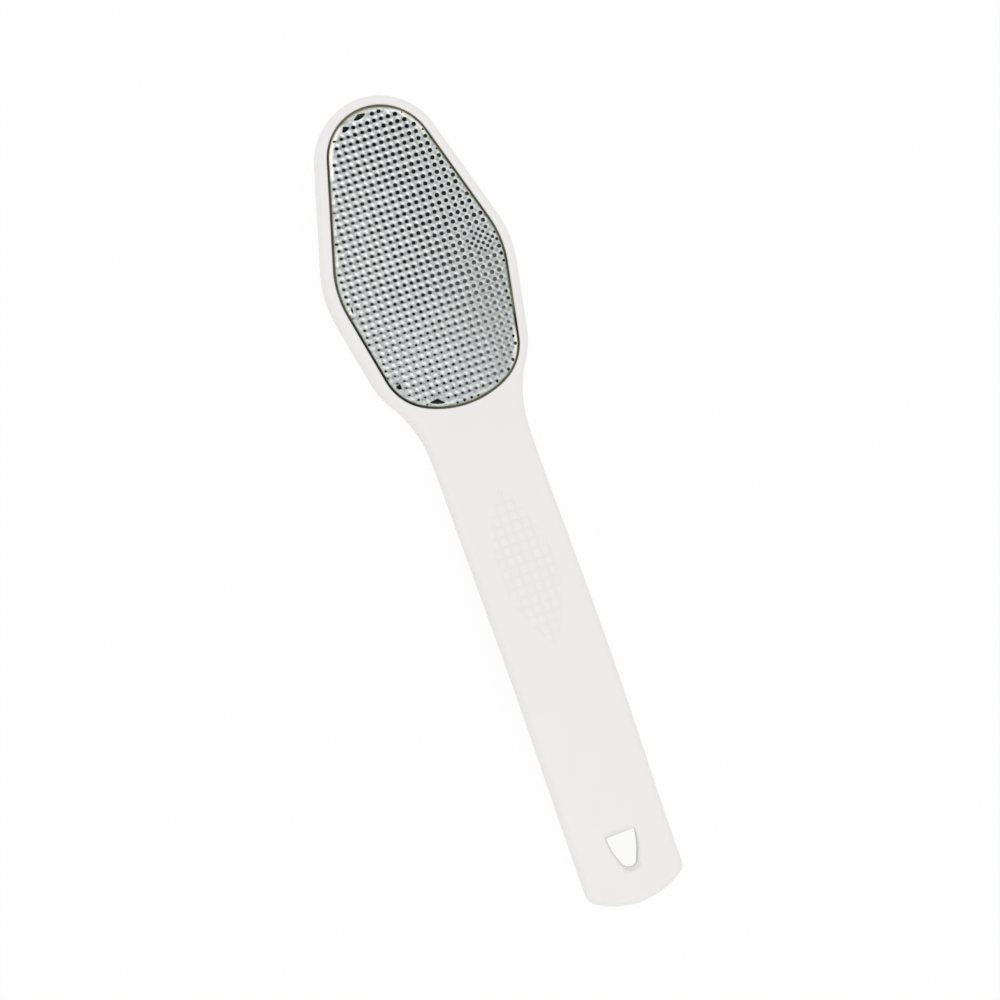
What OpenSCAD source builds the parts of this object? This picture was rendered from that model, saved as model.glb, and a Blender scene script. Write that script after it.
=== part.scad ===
// Foot file: a hollow two-shell plastic handle with a broad head. The head carries a
// perforated steel rasp on its front and an emery sheet on its back.
// Millimetres. X runs across the file, Y along it towards the head, Z up out of the rasp.
// The origin is under the middle of the file, on the surface that it lies on.

/* [Handle] */
// Length from the tip of the head to the end of the handle
length = 230; // [215:1:250]
// Width of the handle
handle_w = 28; // [26:0.5:30]
// Thickness just behind the head
neck_t = 8; // [7:0.5:9]
// Thickness at the top of the arch
handle_t = 9; // [8:0.5:10]
// Thickness at the end of the handle
tail_t = 8; // [7:0.5:9]
// Rise of the handle's arch over the middle of the head
arch_h = 2.8; // [1:0.2:4]
// Distance of the arch's top from the end of the handle
arch_from_end = 70; // [60:1:80]
// Length over which the end of the handle runs level
level_run = 6; // [4:1:12]
// Crown of the handle's front and back across its width
crown_h = 0.6; // [0.2:0.1:0.8]
// Radius of the handle's rounded end
tail_r = 23.5; // [18:1:30]
// Radius of the two corners of that end
tail_corner_r = 3; // [2.9:0.1:4]

/* [Head] */
// Thickness of the head from rim to rim
head_t = 11; // [10:0.5:13]
// Width of the rim round the pocket
rim_w = 2.9; // [2.6:0.1:3.4]
// Length of the pocket
pocket_len = 84; // [80:1:92]
// Largest width of the pocket
pocket_w = 47; // [45:0.5:50]
// Width of the pocket across its lower corners
pocket_foot_w = 38.9; // [37.5:0.1:40]
// Share of the pocket's length, from its top, at which it is widest
widest_share = 0.55; // [0.5:0.005:0.58]
// Radius of the pocket's round top
pocket_top_r = 14.8; // [13:0.1:16]
// Radius of the pocket's side corners
pocket_side_r = 28; // [22:0.5:30]
// Radius of the pocket's lower corners
pocket_corner_r = 14.3; // [13:0.1:15]
// Radius of the pocket's lower edge
pocket_low_r = 26; // [23:0.5:29]
// Radius of the head's shoulders
shoulder_r = 24; // [20:1:28]
// Radius of the hollow of the neck
neck_r = 31; // [26:1:36]
// Steepest lean of the neck's sides, in degrees
neck_angle = 33; // [30:1:36]
// Length over which the head thins to the neck
neck_run = 16; // [12:1:20]

/* [Shells] */
// Wall of both shells
wall = 2; // [1.6:0.1:2.2]
// Radius of the long outer edges
edge_r = 2; // [1.6:0.1:2.2]
// Radius of the long inner edges
inner_r = 0.7; // [0.5:0.1:0.8]
// Lean of each side wall, from the parting line to the edge
draft = 0.15; // [0.1:0.05:0.3]
// Thickness of the cross ribs
rib_t = 1.2; // [1:0.1:1.6]
// Distance between the cross ribs
rib_pitch = 18; // [16:1:24]
// Gap between a rib and the parting line
rib_gap = 0.2; // [0.1:0.05:0.4]
// Diameter of the locating pins
pin_d = 3; // [2.5:0.1:3.5]
// Reach of the pins past the parting line
pin_reach = 1.6; // [1.2:0.1:1.8]
// Wall of the sockets round the pins
socket_wall = 1.5; // [1.2:0.1:2]
// Depth of the sockets
socket_depth = 2; // [1.9:0.1:2.3]
// Clearance round a pin in its socket
pin_gap = 0.1; // [0.05:0.05:0.2]

/* [Rasp] */
// Thickness of the steel sheet
sheet_t = 0.5; // [0.4:0.05:0.7]
// Height of the rasp over the rim
rasp_proud = 0.5; // [0.3:0.1:0.8]
// Width of the turned-down margin
margin_w = 1.2; // [0.9:0.1:1.6]
// Gap between the sheet and the pocket wall
sheet_gap = 0.5; // [0.3:0.05:0.7]
// Thickness of the backing pad
pad_t = 0.9; // [0.7:0.1:1.3]
// Gap between the pad and the margin of the sheet
pad_gap = 0.2; // [0.1:0.05:0.4]

/* [Emery] */
// Thickness of the emery sheet
emery_t = 1; // [0.8:0.1:1.4]
// Height of the emery over the rim
emery_proud = 0.4; // [0.2:0.1:0.6]
// Thickness of the tape under the emery sheet
tape_t = 0.3; // [0.2:0.05:0.5]
// Gap between the emery sheet and the pocket wall
emery_gap = 0.3; // [0.2:0.05:0.6]

/* [Hang hole] */
// Width of the hole's flat top edge at the front face
hole_w = 9.6; // [9:0.2:11]
// Length of the hole at the front face
hole_len = 11.6; // [10.6:0.2:13]
// Radius of the hole's round lower end at the front face
hole_low_r = 2.7; // [2.2:0.1:3.2]
// Radius of the hole's upper corners at the front face
hole_corner_r = 0.5; // [0.4:0.1:1]
// How far the hole narrows all round from the front face to its lip
hole_step = 0.7; // [0.5:0.1:0.9]
// How many times as far the hole narrows or widens at its lower end
hole_foot_share = 2; // [1:0.1:2.2]
// Depth of that lip under the front face
hole_lip_depth = 0.7; // [0.5:0.1:1]
// How far the hole widens all round from its lip to the back face
hole_flare = 1.5; // [1.2:0.1:1.8]
// Distance of the hole's top edge from the end of the handle
hole_from_end = 20.7; // [20:0.1:26]
// Wall of the collar round the hole
collar_wall = 1.6; // [1.2:0.1:2]

/* [Hidden] */

// Steps along each arc of an outline, round each edge and across each face
arc_steps = 8;
short_arc_steps = 4;
run_steps = 20;
edge_steps = 4;
inner_steps = 2;
columns = 6;
round_steps = 48;

// Smallest radius that an inset corner keeps
least_r = 0.05;
// Overrun of every cut past the face that it leaves by
over = 1;

// Places along the file
tip_y = length / 2;
end_y = -length / 2;
pocket_top_y = tip_y - rim_w;
pocket_low_y = pocket_top_y - pocket_len;
head_end_y = pocket_low_y - rim_w;
neck_y = head_end_y - neck_run;
arch_y = end_y + arch_from_end;
level_y = end_y + level_run;
hole_y = end_y + hole_from_end;

// Depths of the two pockets, and heights
rasp_seat = pad_t + sheet_t - rasp_proud;
emery_seat = tape_t + emery_t - emery_proud;
head_mid_z = emery_proud + head_t / 2;
front_rim_z = emery_proud + head_t;
rasp_floor_z = front_rim_z - rasp_seat;
rasp_top_z = front_rim_z + rasp_proud;
tail_mid_z = tail_t / 2 + crown_h;

// Centres of the pocket's arcs on the right-hand side
top_c = [0, pocket_top_y - pocket_top_r];
side_c = [pocket_w / 2 - pocket_side_r, pocket_top_y - widest_share * pocket_len];
low_c = [0, pocket_low_y + pocket_low_r];
corner_x = pocket_foot_w / 2 - pocket_corner_r;
corner_c = [
    corner_x,
    low_c.y - sqrt(pow(pocket_low_r - pocket_corner_r, 2) - pow(corner_x, 2))
];

// Directions, in degrees, in which the pocket's outline faces where its arcs meet
upper_face = tangent_face(top_c, pocket_top_r, side_c, pocket_side_r);
lower_face = tangent_face(side_c, pocket_side_r, corner_c, pocket_corner_r);
foot_face = facing(low_c, corner_c);

// Centres of the arcs that lead from the head into the handle
side_reach = cos(lower_face) * side_c.x + sin(lower_face) * side_c.y + pocket_side_r + rim_w;
shoulder_x = handle_w / 2 + neck_r - (shoulder_r + neck_r) * cos(neck_angle);
shoulder_c = [
    shoulder_x,
    (side_reach - shoulder_r - cos(lower_face) * shoulder_x) / sin(lower_face)
];
neck_c = shoulder_c + (shoulder_r + neck_r) * [cos(neck_angle), -sin(neck_angle)];

// Centres of the arcs of the handle's end
tail_c = [0, end_y + tail_r];
tail_corner_x = handle_w / 2 - tail_corner_r;
tail_corner_c = [
    tail_corner_x,
    tail_c.y - sqrt(pow(tail_r - tail_corner_r, 2) - pow(tail_corner_x, 2))
];
tail_face = facing(tail_c, tail_corner_c);

// Places of the locating pins: one high in the head, a pair where it is widest, one at
// its foot, and three down the handle. Each share runs from the top of its stretch
pin_side_share = 0.6;
head_pin_shares = [0.18, 0.5, 0.85];
handle_pin_shares = [0.1, 0.5, 0.9];
pin_places = concat(
    [
        [0, pocket_top_y - head_pin_shares[0] * pocket_len],
        [-pin_side_share * pocket_w / 2, pocket_top_y - head_pin_shares[1] * pocket_len],
        [pin_side_share * pocket_w / 2, pocket_top_y - head_pin_shares[1] * pocket_len],
        [0, pocket_top_y - head_pin_shares[2] * pocket_len]
    ],
    [for (share = handle_pin_shares) [0, neck_y + share * (hole_y + rib_pitch / 2 - neck_y)]]
);
// Ribs are counted both ways from the foot of the head
last_rib = floor((pocket_top_y - pocket_top_r / 2 - head_end_y) / rib_pitch);
first_rib = -floor((head_end_y - hole_y - 2 * collar_wall) / rib_pitch);

// Direction from one point to another
function facing(a, b) = atan2(b.y - a.y, b.x - a.x);

// Direction in which the line faces that touches two circles on their right-hand side
function tangent_face(a, ra, b, rb) = facing(a, b) + acos((ra - rb) / norm(b - a));

// A share that rises smoothly from 0 to 1 with t, and a value that follows it
function ease(t) = (1 - cos(180 * min(max(t, 0), 1))) / 2;
function blend(a, b, t) = a + (b - a) * ease(t);

// Points on an arc that faces from direction a to b, inset by d. A hollow arc has a
// negative radius. The first point is left out where skip is 1
function arc(c, r, a, b, steps, d, skip = 0) = [
    for (i = [skip:steps])
        let (face = a + (b - a) * i / steps)
            c + (r < 0 ? r - d : max(r - d, least_r)) * [cos(face), sin(face)]
];

// Right-hand half of the pocket's outline, top to bottom, inset by d
function pocket_half(d) = concat(
    arc(top_c, pocket_top_r, 90, upper_face, arc_steps, d),
    arc(side_c, pocket_side_r, upper_face, lower_face, arc_steps, d),
    arc(corner_c, pocket_corner_r, lower_face, foot_face, arc_steps, d),
    arc(low_c, pocket_low_r, foot_face, -90, arc_steps, d, 1)
);

// Right-hand half of the body's outline, tip to tail, inset by d
function body_half(d) = concat(
    arc(top_c, pocket_top_r + rim_w, 90, upper_face, arc_steps, d),
    arc(side_c, pocket_side_r + rim_w, upper_face, lower_face, arc_steps, d),
    arc(shoulder_c, shoulder_r, lower_face, -neck_angle, short_arc_steps, d),
    arc(neck_c, -neck_r, -neck_angle, 0, arc_steps, d, 1),
    [
        for (i = [1:run_steps - 1])
            [handle_w / 2 - d, neck_c.y + (tail_corner_c.y - neck_c.y) * i / run_steps]
    ],
    arc(tail_corner_c, tail_corner_r, 0, tail_face, short_arc_steps, d),
    arc(tail_c, tail_r, tail_face, -90, short_arc_steps, d, 1)
);

// Right-hand half of the hang hole, from its top edge down, for a top edge of width w,
// a length l and a lower radius r
function hole_half(w, l, r, corner) =
    let (
        side_r = (w * w / 4 + pow(l - r, 2) - r * r) / (w - 2 * r),
        side_at = [w / 2 - side_r, 0],
        low_at = [0, r - l],
        face = facing(side_at, low_at),
        corner_at = [w / 2 - corner, -corner]
    )
    concat(
        arc(corner_at, corner, 90, 0, short_arc_steps, 0),
        arc(side_at, side_r, face / short_arc_steps, face, short_arc_steps, 0),
        arc(low_at, r, face, -90, short_arc_steps, 0, 1)
    );

// A whole outline from its right-hand half
function whole(half) = concat(
    half,
    [for (i = [len(half) - 1:-1:0]) if (half[i].x > least_r) [-half[i].x, half[i].y]]
);

// Height of the parting line, and half of the thickness over and under it
function mid_z(y) = y > arch_y
    ? blend(head_mid_z, head_mid_z + arch_h, (head_end_y - y) / (head_end_y - arch_y))
    : blend(head_mid_z + arch_h, tail_mid_z, (arch_y - y) / (arch_y - level_y));
function half_t(y) = y > neck_y
    ? blend(head_t, neck_t, (head_end_y - y) / neck_run) / 2
    : y > arch_y
    ? blend(neck_t, handle_t, (neck_y - y) / (neck_y - arch_y)) / 2
    : blend(handle_t, tail_t, (arch_y - y) / (arch_y - level_y)) / 2;

// 0 on the flat head and 1 from the neck on
function off_head(y) = ease((head_end_y - y) / neck_run);

// Distance of the front or back face from the parting line
function reach(x, y) = half_t(y) + crown_h * off_head(y) * (1 - pow(2 * x / handle_w, 2));

// Place of a cross rib by its number, counted from the foot of the head
function rib_y(n) = head_end_y + n * rib_pitch;

// Half the width of the body at y
body_widths = [for (p = body_half(0)) [-p.y, p.x]];
function half_width(y) = lookup(-y, body_widths);

// A skin's rings, from the parting line up: inset, drop below the face, and 0 for the
// ring that stays on the parting line
function rings(inset, r, steps) = concat(
    [[inset, 0, 0]],
    [
        for (k = [0:steps])
            [inset + draft + r * (1 - cos(90 * k / steps)), r * (1 - sin(90 * k / steps)), 1]
    ]
);
outer_rings = rings(0, edge_r, edge_steps);
inner_rings = rings(wall, inner_r, inner_steps);
outer_paths = [for (ring = outer_rings) body_half(ring[0])];
inner_paths = [for (ring = inner_rings) body_half(ring[0])];

// One point of a skin. Side is 1 for the front shell and -1 for the back shell, depth is
// how far the skin lies under the face, and seat the depth of the pocket over it
function skin_point(p, ring, side, depth, seat) =
    let (low = depth + seat * (1 - off_head(p.y)))
    [p.x, p.y, mid_z(p.y) + side * ring[2] * (reach(p.x, p.y) - low - ring[1])];

// A skin's points at station i, from its right side over the face to its left
function skin_row(paths, ring_list, i, side, depth, seat) =
    let (last = len(ring_list) - 1, p = paths[last][i])
    concat(
        [for (k = [0:last]) skin_point(paths[k][i], ring_list[k], side, depth, seat)],
        [
            for (j = [1:columns - 1])
                skin_point([p.x * (1 - 2 * j / columns), p.y], ring_list[last], side, depth, seat)
        ],
        [
            for (k = [last:-1:0])
                let (q = paths[k][i])
                    skin_point([-q.x, q.y], ring_list[k], side, depth, seat)
        ]
    );
function backwards(list) = [for (i = [len(list) - 1:-1:0]) list[i]];

// The hollow shell on one side of the parting line, as rows of points round both skins
module skin(side, seat) {
    stations = len(outer_paths[0]);
    rows = [
        for (i = [0:stations - 1])
            concat(
                skin_row(outer_paths, outer_rings, i, side, 0, 0),
                backwards(skin_row(inner_paths, inner_rings, i, side, wall, seat))
            )
    ];
    around = len(rows[0]);
    outer_n = 2 * len(outer_rings) + columns - 1;
    // Left and right meet at the tip and at the tail, so those rows share their points
    function shared(j) = j < outer_n
        ? min(j, outer_n - 1 - j, len(outer_rings) - 1)
        : outer_n + min(j - outer_n, around - 1 - j, len(inner_rings) - 1);
    function at(i, j) = i * around + (i == 0 || i == stations - 1 ? shared(j) : j);
    triangles = [
        for (i = [0:stations - 2], j = [0:around - 1])
            let (a = at(i, j), b = at(i, (j + 1) % around))
            let (c = at(i + 1, (j + 1) % around), d = at(i + 1, j))
                each [[a, b, c], [a, c, d]]
    ];
    polyhedron(
        [for (row = rows) each row],
        [
            for (t = triangles)
                if (t[0] != t[1] && t[1] != t[2] && t[2] != t[0])
                    side > 0 ? backwards(t) : t
        ]
    );
}

// A solid through outlines of equal count, each given with its height
module layers(outlines, heights) {
    n = len(outlines[0]);
    top = len(outlines) - 1;
    polyhedron(
        [for (k = [0:top]) for (p = outlines[k]) [p.x, p.y, heights[k]]],
        concat(
            [[for (i = [n - 1:-1:0]) i]],
            [
                for (k = [0:top - 1], i = [0:n - 1])
                    let (j = (i + 1) % n)
                        each [
                            [k * n + i, (k + 1) * n + j, (k + 1) * n + i],
                            [k * n + i, k * n + j, (k + 1) * n + j]
                        ]
            ],
            [[for (i = [0:n - 1]) top * n + i]]
        )
    );
}

// What the head's pocket leaves free on one side
module pocket(side, seat) {
    floor_z = head_mid_z + side * (head_t / 2 - seat);
    translate([0, 0, side > 0 ? floor_z : floor_z - seat - over])
        linear_extrude(seat + over)
            polygon(whole(pocket_half(0)));
}

// Cross ribs that stand from the face's wall to just short of the parting line
module ribs(side, seat) {
    for (n = [first_rib:last_rib]) {
        y = rib_y(n);
        low = wall / 2 + seat * (1 - off_head(y));
        tall = reach(half_width(y), y) - low - rib_gap;
        w = 2 * half_width(y) - wall;
        translate([-w / 2, y - rib_t / 2, mid_z(y) + (side > 0 ? rib_gap : -rib_gap - tall)])
            cube([w, rib_t, tall]);
    }
}

// Outline of the hang hole where it is wider all round by d than at the front face, and
// longer at its lower end by more
function hole_outline(d) =
    let (share = 1 + 2 * d / hole_len, l = hole_len + (1 + hole_foot_share) * d)
    [
        for (p = whole(hole_half(hole_w + 2 * d, l, hole_low_r * share, hole_corner_r * share)))
            p + [0, d]
    ];

// The opening through one shell. It narrows from the front face to a lip, and widens from
// there to the back face
module hang_hole(side) {
    centre_y = hole_y - hole_len / 2;
    rise = reach(0, centre_y);
    lip_z = rise - hole_lip_depth;
    function level(z) = hole_outline(hole_flare * (lip_z - z) / (lip_z + rise) - hole_step);
    translate([0, hole_y, mid_z(centre_y)]) {
        if (side > 0)
            layers(
                [level(0), level(0), level(lip_z), hole_outline(hole_step * over / hole_lip_depth)],
                [-over, 0, lip_z, rise + over]
            );
        else
            layers([level(-rise - over), level(0), level(0)], [-rise - over, 0, over]);
    }
}

// The wall round the opening, which closes the shell's inside off
module collar(side) {
    centre_y = hole_y - hole_len / 2;
    tall = reach(0, centre_y) - wall / 2;
    translate([0, hole_y, mid_z(centre_y) - (side > 0 ? 0 : tall)])
        linear_extrude(tall)
            offset(r = collar_wall, $fn = round_steps)
                polygon(hole_outline(hole_flare - hole_step));
}

module front_shell() {
    color("white")
        difference() {
            union() {
                skin(1, rasp_seat);
                ribs(1, rasp_seat);
                collar(1);
                for (p = pin_places) {
                    tall = reach(p.x, p.y) - wall / 2 - rasp_seat * (1 - off_head(p.y)) + pin_reach;
                    translate([p.x, p.y, mid_z(p.y) - pin_reach])
                        cylinder(d = pin_d, h = tall, $fn = round_steps);
                }
            }
            pocket(1, rasp_seat);
            hang_hole(1);
        }
}

module back_shell() {
    socket_d = pin_d + 2 * pin_gap;
    color("white")
        difference() {
            union() {
                skin(-1, emery_seat);
                ribs(-1, emery_seat);
                collar(-1);
                for (p = pin_places) {
                    tall = reach(p.x, p.y) - wall / 2 - emery_seat * (1 - off_head(p.y)) - rib_gap;
                    translate([p.x, p.y, mid_z(p.y) - rib_gap - tall])
                        cylinder(d = socket_d + 2 * socket_wall, h = tall, $fn = round_steps);
                }
            }
            pocket(-1, emery_seat);
            hang_hole(-1);
            for (p = pin_places)
                translate([p.x, p.y, mid_z(p.y) - socket_depth])
                    cylinder(d = socket_d, h = socket_depth + over, $fn = round_steps);
        }
}

// The rasp: a flat field over a margin that slopes down to the pocket's floor
module rasp_plate() {
    field = whole(pocket_half(sheet_gap + margin_w));
    edge = whole(pocket_half(sheet_gap));
    color("silver")
        layers(
            [field, edge, edge, field],
            [rasp_top_z - sheet_t, rasp_floor_z, rasp_floor_z + sheet_t, rasp_top_z]
        );
}

module rasp_backing() {
    color("dimgray")
        translate([0, 0, rasp_floor_z])
            linear_extrude(pad_t)
                polygon(whole(pocket_half(sheet_gap + margin_w + pad_gap)));
}

module emery_sheet() {
    color("gray")
        linear_extrude(emery_t)
            polygon(whole(pocket_half(emery_gap)));
}

module emery_backing() {
    color("beige")
        translate([0, 0, emery_t])
            linear_extrude(tape_t)
                polygon(whole(pocket_half(emery_gap)));
}

front_shell();
back_shell();
rasp_plate();
rasp_backing();
emery_sheet();
emery_backing();
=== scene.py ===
# Foot file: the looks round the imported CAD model. Every size below is in millimetres,
# in the CAD frame, and every object is made in metres.
import math
import random

import bmesh
import bpy
import numpy as np
from mathutils import Matrix, Vector
from mathutils.geometry import delaunay_2d_cdt


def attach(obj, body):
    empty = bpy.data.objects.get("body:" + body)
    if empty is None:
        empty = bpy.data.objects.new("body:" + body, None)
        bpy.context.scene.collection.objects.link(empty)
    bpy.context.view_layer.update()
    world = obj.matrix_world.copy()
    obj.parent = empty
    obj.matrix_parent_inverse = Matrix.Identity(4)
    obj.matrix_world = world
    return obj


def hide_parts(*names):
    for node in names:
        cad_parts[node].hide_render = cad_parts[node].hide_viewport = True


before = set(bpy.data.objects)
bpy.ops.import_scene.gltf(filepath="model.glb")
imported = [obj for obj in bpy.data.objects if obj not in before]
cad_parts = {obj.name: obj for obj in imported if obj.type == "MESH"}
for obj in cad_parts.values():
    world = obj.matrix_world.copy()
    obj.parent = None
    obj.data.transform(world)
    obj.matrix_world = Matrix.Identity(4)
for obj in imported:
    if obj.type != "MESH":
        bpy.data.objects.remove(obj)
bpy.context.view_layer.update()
scene = bpy.context.scene

MM = 0.001

# Handle
LENGTH = 230.0
HANDLE_W = 28.0
NECK_T = 8.0
HANDLE_T = 9.0
TAIL_T = 8.0
ARCH_H = 2.8
ARCH_FROM_END = 70.0
LEVEL_RUN = 6.0
CROWN_H = 0.6
TAIL_R = 23.5
TAIL_CORNER_R = 3.0

# Head
HEAD_T = 11.0
RIM_W = 2.9
POCKET_LEN = 84.0
POCKET_W = 47.0
POCKET_FOOT_W = 38.9
WIDEST_SHARE = 0.55
POCKET_TOP_R = 14.8
POCKET_SIDE_R = 28.0
POCKET_CORNER_R = 14.3
POCKET_LOW_R = 26.0
SHOULDER_R = 24.0
NECK_R = 31.0
NECK_ANGLE = 33.0
NECK_RUN = 16.0

# Shells
WALL = 2.0
EDGE_R = 2.0
INNER_R = 0.7
DRAFT = 0.15
RIB_T = 1.2
RIB_PITCH = 18.0
RIB_GAP = 0.2
PIN_D = 3.0
PIN_REACH = 1.6
SOCKET_WALL = 1.5
SOCKET_DEPTH = 2.0
PIN_GAP = 0.1
SEAM = 0.14
SEAM_SHARES = ((1.0, 0.0), (0.3, 0.7), (0.0, 1.6))
OVER = 1.0
LEAST_R = 0.05

# Rasp and emery
SHEET_T = 0.5
RASP_PROUD = 0.5
MARGIN_W = 1.2
SHEET_GAP = 0.5
PAD_T = 0.9
EMERY_T = 1.0
EMERY_PROUD = 0.4
TAPE_T = 0.3
EMERY_GAP = 0.3

# Hang hole
HOLE_W = 9.6
HOLE_LEN = 11.6
HOLE_LOW_R = 2.7
HOLE_CORNER_R = 0.5
HOLE_STEP = 0.7
HOLE_FOOT_SHARE = 2.0
HOLE_LIP_DEPTH = 0.7
HOLE_FLARE = 1.5
HOLE_FROM_END = 20.7
COLLAR_WALL = 1.6

# Small rounds along the pockets and the hang hole
POCKET_ROUND = 0.4
HOLE_ROUND = 0.45
ROUND_END = 78.0
ROUND_STEPS = 5

# Places along the file, and heights
TIP_Y = LENGTH / 2
END_Y = -LENGTH / 2
POCKET_TOP_Y = TIP_Y - RIM_W
POCKET_LOW_Y = POCKET_TOP_Y - POCKET_LEN
HEAD_END_Y = POCKET_LOW_Y - RIM_W
NECK_Y = HEAD_END_Y - NECK_RUN
ARCH_Y = END_Y + ARCH_FROM_END
LEVEL_Y = END_Y + LEVEL_RUN
HOLE_Y = END_Y + HOLE_FROM_END
HOLE_MID_Y = HOLE_Y - HOLE_LEN / 2
HEAD_MID_Z = EMERY_PROUD + HEAD_T / 2
TAIL_MID_Z = TAIL_T / 2 + CROWN_H
RASP_SEAT = PAD_T + SHEET_T - RASP_PROUD
EMERY_SEAT = TAPE_T + EMERY_T - EMERY_PROUD
RASP_TOP_Z = EMERY_PROUD + HEAD_T + RASP_PROUD

# Steps in the arcs of the hang hole and in the rounds of the edges, and sides of a pin
HOLE_STEPS = (8, 12, 10)
EDGE_STEPS = 10
INNER_STEPS = 3
PIN_SIDES = 40

# Angles in degrees over which an edge is shaded sharp
BODY_SHARP = 32
RASP_SHARP = 48
EMERY_SHARP = 40


def facing(a, b):
    """Direction in degrees from one point to another."""
    return math.degrees(math.atan2(b[1] - a[1], b[0] - a[0]))


def tangent_face(a, ra, b, rb):
    """Direction in which the line faces that touches two circles on their right."""
    gap = math.hypot(b[0] - a[0], b[1] - a[1])
    return facing(a, b) + math.degrees(math.acos((ra - rb) / gap))


def cosd(angle):
    return math.cos(math.radians(angle))


def sind(angle):
    return math.sin(math.radians(angle))


def corner_centre(c, r, half_w, corner_r):
    """Centre of the arc that joins a bow of radius r about c to a side at half_w."""
    x = half_w - corner_r
    return (x, c[1] - math.sqrt((r - corner_r) ** 2 - x**2))


# Centres of the outline's arcs on the right-hand side, and where they meet
TOP_C = (0.0, POCKET_TOP_Y - POCKET_TOP_R)
SIDE_C = (POCKET_W / 2 - POCKET_SIDE_R, POCKET_TOP_Y - WIDEST_SHARE * POCKET_LEN)
LOW_C = (0.0, POCKET_LOW_Y + POCKET_LOW_R)
CORNER_C = corner_centre(LOW_C, POCKET_LOW_R, POCKET_FOOT_W / 2, POCKET_CORNER_R)
UPPER_FACE = tangent_face(TOP_C, POCKET_TOP_R, SIDE_C, POCKET_SIDE_R)
LOWER_FACE = tangent_face(SIDE_C, POCKET_SIDE_R, CORNER_C, POCKET_CORNER_R)
FOOT_FACE = facing(LOW_C, CORNER_C)
SIDE_REACH = cosd(LOWER_FACE) * SIDE_C[0] + sind(LOWER_FACE) * SIDE_C[1] + POCKET_SIDE_R + RIM_W
BEND_R = SHOULDER_R + NECK_R
NECK_X = HANDLE_W / 2 + NECK_R
SHOULDER_X = NECK_X - BEND_R * cosd(NECK_ANGLE)
SHOULDER_Y = (SIDE_REACH - SHOULDER_R - cosd(LOWER_FACE) * SHOULDER_X) / sind(LOWER_FACE)
SHOULDER_C = (SHOULDER_X, SHOULDER_Y)
NECK_C = (NECK_X, SHOULDER_Y - BEND_R * sind(NECK_ANGLE))
TAIL_C = (0.0, END_Y + TAIL_R)
TAIL_CORNER_C = corner_centre(TAIL_C, TAIL_R, HANDLE_W / 2, TAIL_CORNER_R)
TAIL_FACE = facing(TAIL_C, TAIL_CORNER_C)

# Arcs of the right-hand halves from the top down: centre, radius, which is below 0 where the
# arc is hollow, the directions that it faces from and to, steps, and points left out
POCKET_ARCS = (
    (TOP_C, POCKET_TOP_R, 90, UPPER_FACE, 18),
    (SIDE_C, POCKET_SIDE_R, UPPER_FACE, LOWER_FACE, 12),
    (CORNER_C, POCKET_CORNER_R, LOWER_FACE, FOOT_FACE, 12),
    (LOW_C, POCKET_LOW_R, FOOT_FACE, -90, 14, 1),
)
HEAD_ARCS = (
    (TOP_C, POCKET_TOP_R + RIM_W, 90, UPPER_FACE, 28),
    (SIDE_C, POCKET_SIDE_R + RIM_W, UPPER_FACE, LOWER_FACE, 14),
    (SHOULDER_C, SHOULDER_R, LOWER_FACE, -NECK_ANGLE, 12),
    (NECK_C, -NECK_R, -NECK_ANGLE, 0, 22, 1),
)
TAIL_ARCS = (
    (TAIL_CORNER_C, TAIL_CORNER_R, 0, TAIL_FACE, 10),
    (TAIL_C, TAIL_R, TAIL_FACE, -90, 16, 1),
)


def arc(d, c, r, a, b, steps, skip=0):
    """Points on an arc, inset by d."""
    face = np.radians(np.linspace(a, b, steps + 1)[skip:])
    far = r - d if r < 0 else max(r - d, LEAST_R)
    return np.column_stack((c[0] + far * np.cos(face), c[1] + far * np.sin(face)))


def pocket(d):
    """The pocket's outline, inset by d."""
    return whole(np.vstack([arc(d, *row) for row in POCKET_ARCS]))


def body_half(d, straight_ys):
    """Right-hand half of the body's outline, inset by d."""
    straight = np.column_stack((np.full(len(straight_ys), HANDLE_W / 2 - d), straight_ys))
    head = [arc(d, *row) for row in HEAD_ARCS]
    tail = [arc(d, *row) for row in TAIL_ARCS]
    return np.vstack(head + [straight] + tail)


def hole_half(w, length, r, corner):
    """Right-hand half of the hang hole from its top edge down."""
    side_r = (w * w / 4 + (length - r) ** 2 - r * r) / (w - 2 * r)
    side_at = (w / 2 - side_r, 0.0)
    low_at = (0.0, r - length)
    face = facing(side_at, low_at)
    steps = HOLE_STEPS
    arcs = (
        ((w / 2 - corner, -corner), corner, 90, 0, steps[0]),
        (side_at, side_r, face / steps[0], face, steps[1]),
        (low_at, r, face, -90, steps[2], 1),
    )
    return np.vstack([arc(0, *row) for row in arcs])


def whole(half):
    """A whole outline from its right-hand half, clockwise from the top."""
    left = half[half[:, 0] > LEAST_R][::-1] * (-1, 1)
    return np.vstack((half, left))


def ease(t):
    return (1 - np.cos(np.pi * np.clip(t, 0, 1))) / 2


def blend(a, b, t):
    return a + (b - a) * ease(t)


def mid_z(y):
    """Height of the parting line."""
    near = blend(HEAD_MID_Z, HEAD_MID_Z + ARCH_H, (HEAD_END_Y - y) / (HEAD_END_Y - ARCH_Y))
    far = blend(HEAD_MID_Z + ARCH_H, TAIL_MID_Z, (ARCH_Y - y) / (ARCH_Y - LEVEL_Y))
    return np.where(y > ARCH_Y, near, far)


def half_t(y):
    """Half of the thickness at the edges of the body."""
    head = blend(HEAD_T, NECK_T, (HEAD_END_Y - y) / NECK_RUN)
    near = blend(NECK_T, HANDLE_T, (NECK_Y - y) / (NECK_Y - ARCH_Y))
    far = blend(HANDLE_T, TAIL_T, (ARCH_Y - y) / (ARCH_Y - LEVEL_Y))
    return np.where(y > NECK_Y, head, np.where(y > ARCH_Y, near, far)) / 2


def off_head(y):
    return ease((HEAD_END_Y - y) / NECK_RUN)


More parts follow.
